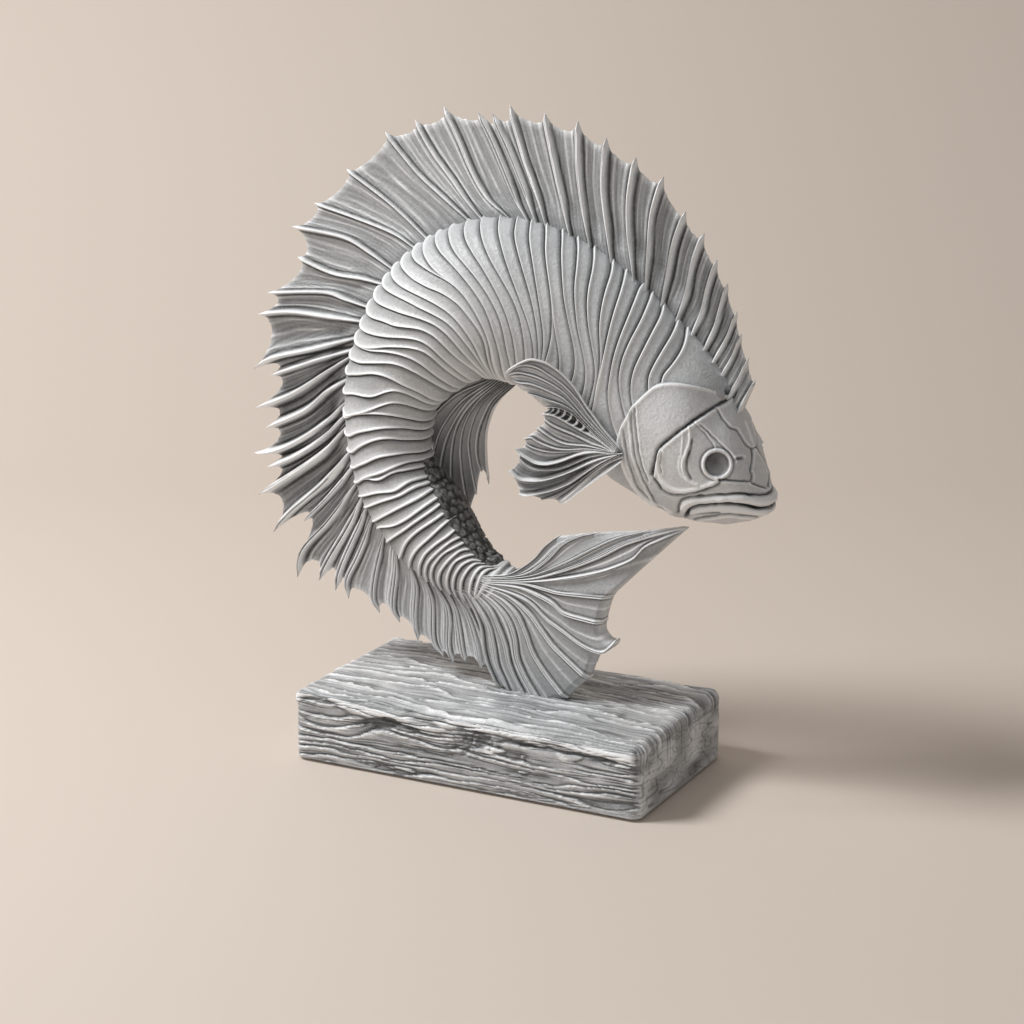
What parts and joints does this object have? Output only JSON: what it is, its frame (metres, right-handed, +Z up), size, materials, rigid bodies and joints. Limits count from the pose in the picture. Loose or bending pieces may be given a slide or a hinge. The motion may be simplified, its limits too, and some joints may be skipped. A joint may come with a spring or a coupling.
{
  "type": "fish figurine",
  "caption": "Cast fish figurine with a tightly curled body and tall rayed fins, standing on its tail fin on a rounded rectangular base.",
  "frame": {"origin": "centre of the underside of the felt sheet under the base", "axes": "+Z up, +X towards the side that the head is on, -Y towards the viewer who sees the fish's right flank"},
  "size_m": [0.2582, 0.088, 0.2899],
  "materials": {
    "cast_resin": "satin stone-grey resin, darker in the hollows",
    "steel": "zinc plated",
    "felt": "dark felt"
  },
  "bodies": {
    "root": {"base_block": "cast_resin", "dorsal_fin_front": "cast_resin", "dorsal_fin_pins": "steel", "dorsal_fin_rear": "cast_resin", "felt_sheet": "felt", "head": "cast_resin", "head_dowels": "steel", "mounting_studs": "steel", "pectoral_fin_left": "cast_resin", "pectoral_fin_right": "cast_resin", "pectoral_pins": "steel", "pelvic_fin": "cast_resin", "pelvic_pin": "steel", "stud_nuts": "steel", "stud_washers": "steel", "tail_dowels": "steel", "tail_fin": "cast_resin", "trunk": "cast_resin"}
  },
  "joints": []
}
